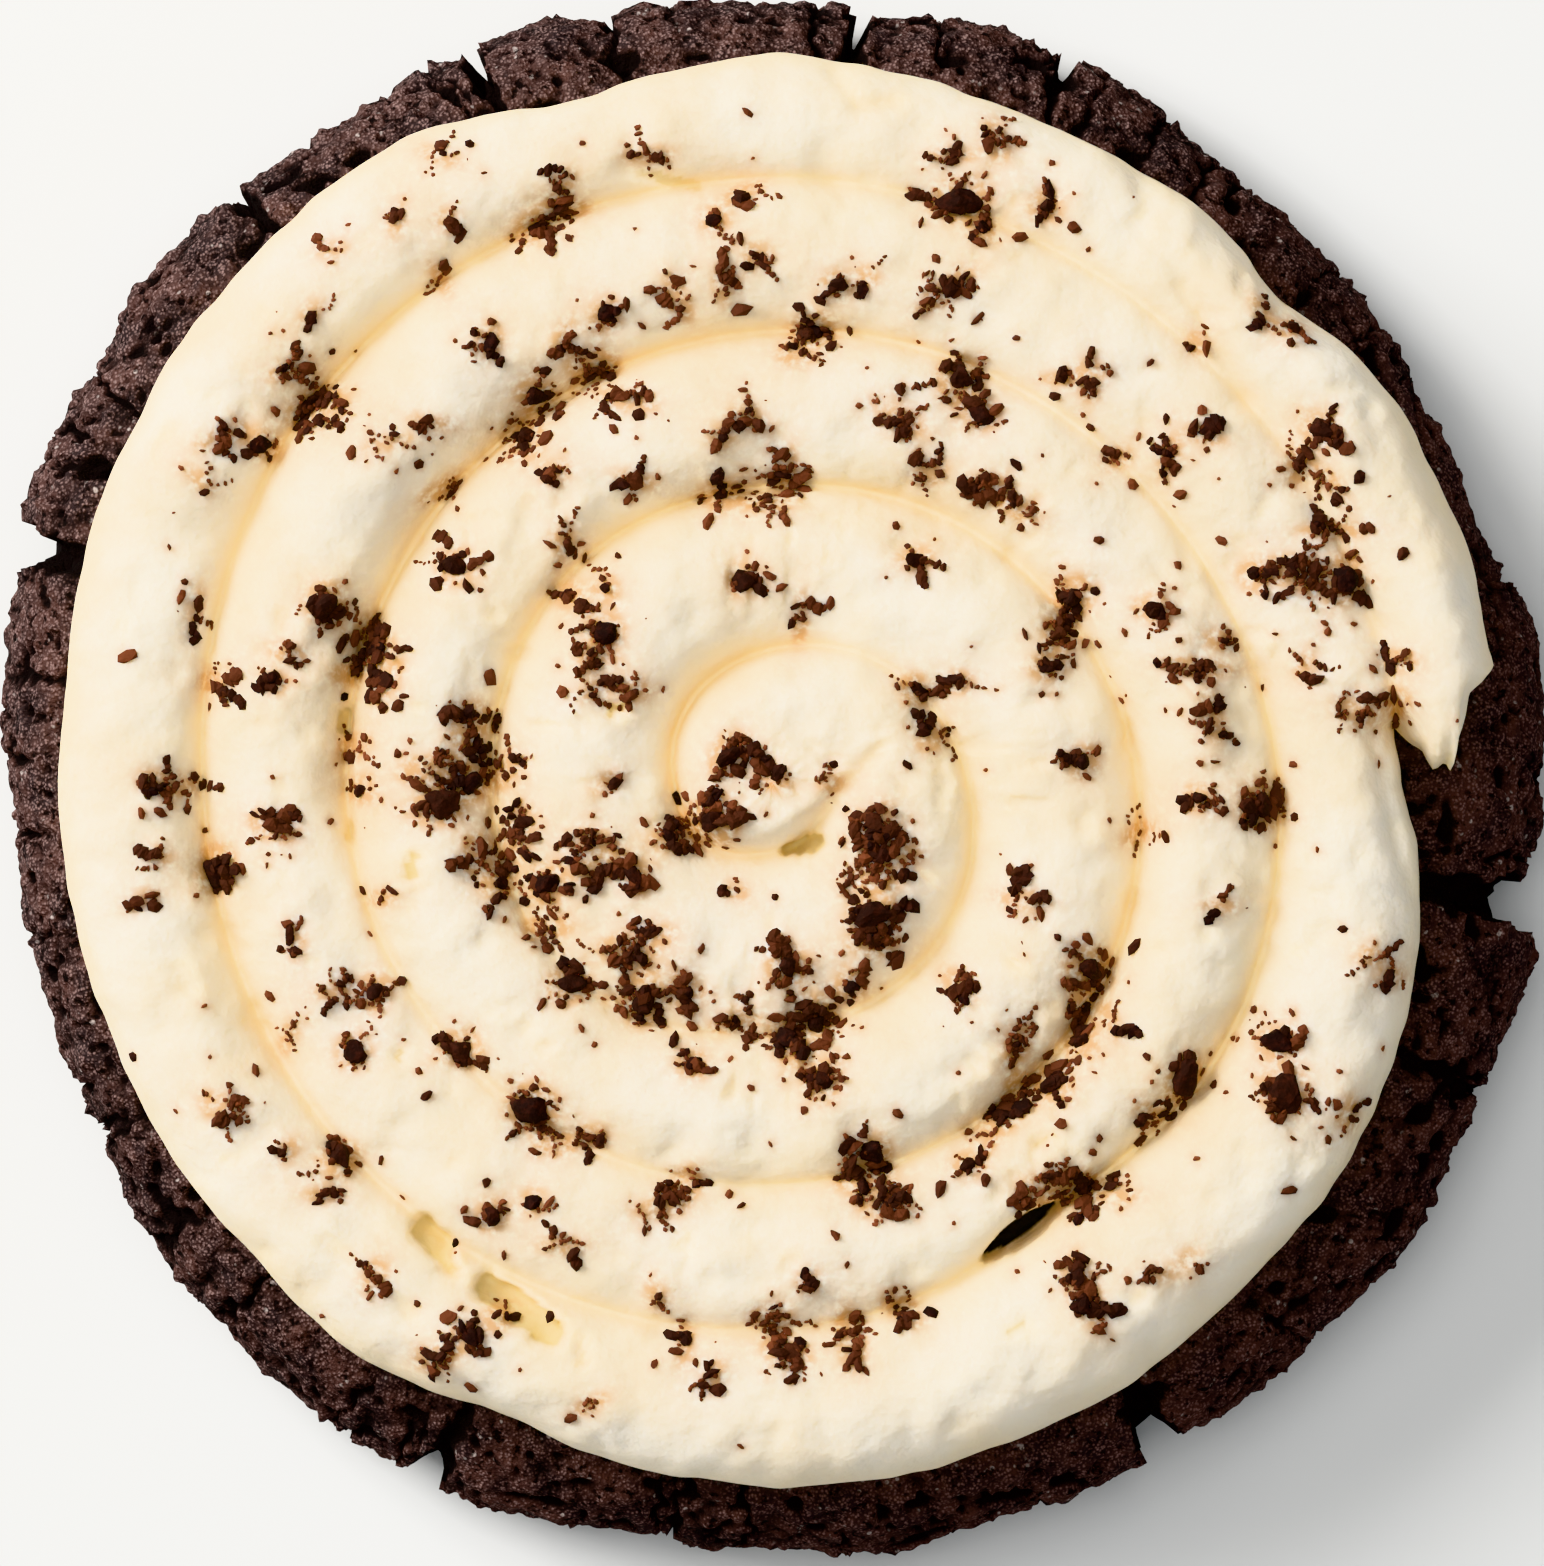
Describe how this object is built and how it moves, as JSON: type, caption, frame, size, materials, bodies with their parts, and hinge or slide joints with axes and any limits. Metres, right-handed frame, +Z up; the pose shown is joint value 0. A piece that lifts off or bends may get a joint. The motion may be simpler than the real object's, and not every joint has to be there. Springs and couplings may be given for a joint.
{
  "type": "cookies and cream cookie",
  "caption": "Thick dark chocolate cookie with a rough, split rim, topped with a piped spiral rope of vanilla cream sprinkled with crushed cookie crumbs.",
  "frame": {"origin": "middle of the flat underside", "axes": "+Z up through the cookie, +X towards the loose end of the cream rope"},
  "size_m": [0.1098, 0.1106, 0.0247],
  "materials": {
    "cookie": "rough, dry and grainy baked cocoa dough",
    "cream": "smooth satin piped cream",
    "crumb": "dry, rough crushed cookie"
  },
  "bodies": {
    "root": {"cookie": "cookie", "cream_swirl": "cream"}
  },
  "joints": []
}
